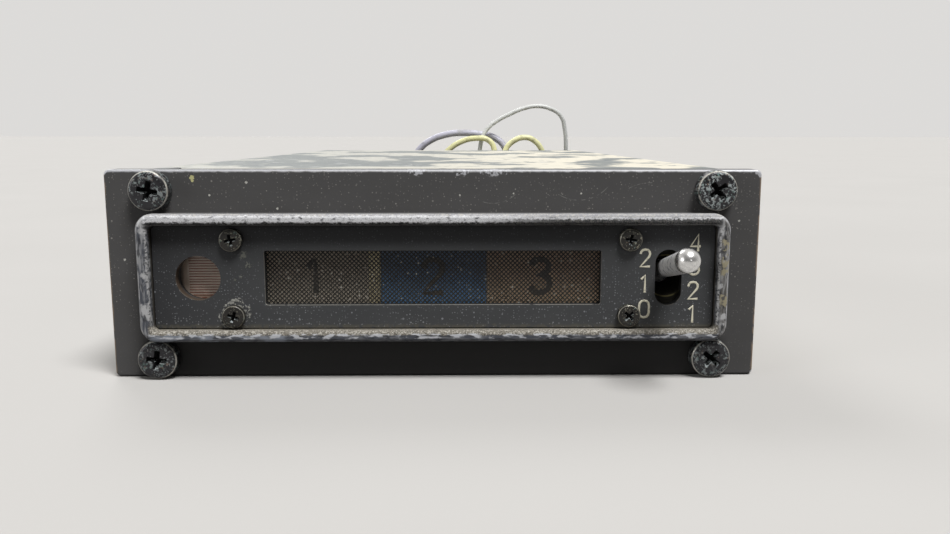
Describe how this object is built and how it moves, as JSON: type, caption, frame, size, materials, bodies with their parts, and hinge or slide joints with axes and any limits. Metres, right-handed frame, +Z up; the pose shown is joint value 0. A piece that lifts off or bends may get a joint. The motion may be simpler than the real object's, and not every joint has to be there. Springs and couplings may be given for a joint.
{
  "type": "marker beacon receiver",
  "caption": "Shallow panel-mounted aircraft receiver with a framed three-lamp window, a photocell, a toggle switch and a rear plug with cut wires.",
  "frame": {"origin": "centre of the case's underside, halfway between the bezel's front face and the rear panel", "axes": "+Z up, +Y towards the rear panel, so the front faces -Y, and +X to the right seen from the front"},
  "size_m": [0.0832, 0.2208, 0.042],
  "materials": {
    "bezel_paint": "dark charcoal satin paint, worn to metal on the rim's lip and edges",
    "faceplate_paint": "blue-grey black matt paint",
    "black_oxide_steel": "black oxide with pale corrosion",
    "cover_paint": "dark blue-grey paint worn through to a pale cream undercoat",
    "sheet_aluminium": "chromated sheet",
    "turned_aluminium": "machined",
    "plated_steel": "zinc or cadmium plate",
    "mesh_black": "etched mesh, black",
    "lens_clear": "frosted warm white",
    "lens_blue": "frosted dark blue",
    "lens_amber": "frosted amber",
    "black_moulding": "moulded black",
    "lamp_glass": "clear",
    "circuit_board": "green-brown laminate",
    "photocell_ceramic": "pinkish cadmium sulphide face",
    "tinned_copper": "tinned",
    "bushing_zinc": "dull gold chromate",
    "switch_plastic": "dark red phenolic",
    "lever_nickel": "scuffed satin nickel",
    "nylon_white": "natural nylon",
    "contact_bronze": "phosphor bronze",
    "tinned_can": "tinned",
    "capacitor_sleeve": "shrunk sleeve",
    "disc_ceramic": "dipped ceramic",
    "resistor_body": "lacquered carbon composition",
    "core_steel": "varnished laminations",
    "winding": "varnished copper wire and tape",
    "trimmer_blue": "moulded",
    "jack_nickel": "dull nickel plate",
    "ptfe": "white fluoroplastic",
    "contact_gold": "gold plate",
    "insulation_clear": "translucent grey-white",
    "insulation_violet": "dull grey violet",
    "insulation_yellow": "pale yellow",
    "insulation_black": "black"
  },
  "bodies": {
    "case": {"front_bezel": "bezel_paint", "faceplate": "faceplate_paint", "faceplate_screws": "black_oxide_steel", "corner_screws": "black_oxide_steel", "corner_blocks": "turned_aluminium", "window_mesh": "mesh_black", "clear_lens": "lens_clear", "blue_lens": "lens_blue", "amber_lens": "lens_amber", "lamp_housing": "black_moulding", "lamps": "lamp_glass", "lamp_board": "circuit_board", "photocell": "photocell_ceramic", "photocell_leads": "tinned_copper", "switch_bushing": "bushing_zinc", "switch_nut": "plated_steel", "switch_body": "switch_plastic", "lever_pin": "plated_steel", "rocker_pin": "plated_steel", "switch_terminals": "contact_bronze", "chassis": "sheet_aluminium", "top_cover": "cover_paint", "cover_screws": "plated_steel", "cover_nuts": "plated_steel", "rear_panel": "sheet_aluminium", "panel_rivets": "turned_aluminium", "main_board": "circuit_board", "board_standoffs": "turned_aluminium", "board_screws": "plated_steel", "shielding_cans": "tinned_can", "crystal_filter": "tinned_can", "electrolytic_capacitors": "capacitor_sleeve", "disc_capacitors": "disc_ceramic", "resistors": "resistor_body", "transistors": "black_moulding", "integrated_circuits": "black_moulding", "transformer_core": "core_steel", "transformer_winding": "winding", "trimmers": "trimmer_blue", "regulator": "black_moulding", "shield_wall": "tinned_can", "lamp_leads": "insulation_violet", "aerial_lead": "insulation_black", "aerial_jack": "jack_nickel", "jack_nut": "jack_nickel", "jack_insulator": "ptfe", "jack_contact": "contact_gold", "power_socket": "nylon_white", "socket_pins": "contact_gold", "harness_plug": "nylon_white", "wire_clear": "insulation_clear", "wire_violet": "insulation_violet", "wire_yellow_a": "insulation_yellow", "wire_yellow_b": "insulation_yellow"},
    "lever": {"switch_lever": "lever_nickel", "lever_plunger": "nylon_white"},
    "rocker": {"contact_rocker": "contact_bronze"}
  },
  "joints": [
    {"name": "sensitivity_switch", "type": "hinge", "parent": "case", "child": "lever", "pos_m": [0.0298, -0.0776, 0.01315], "axis": [1, 0, 0], "range_deg": [0, 26]},
    {"name": "rocker_pivot", "type": "hinge", "parent": "case", "child": "rocker", "pos_m": [0.0298, -0.0713, 0.01315], "axis": [1, 0, 0], "range_deg": [-15.6, 0]}
  ],
  "couplings": [
    {"joint": "rocker_pivot", "follows": "sensitivity_switch", "ratio": -0.6}
  ]
}
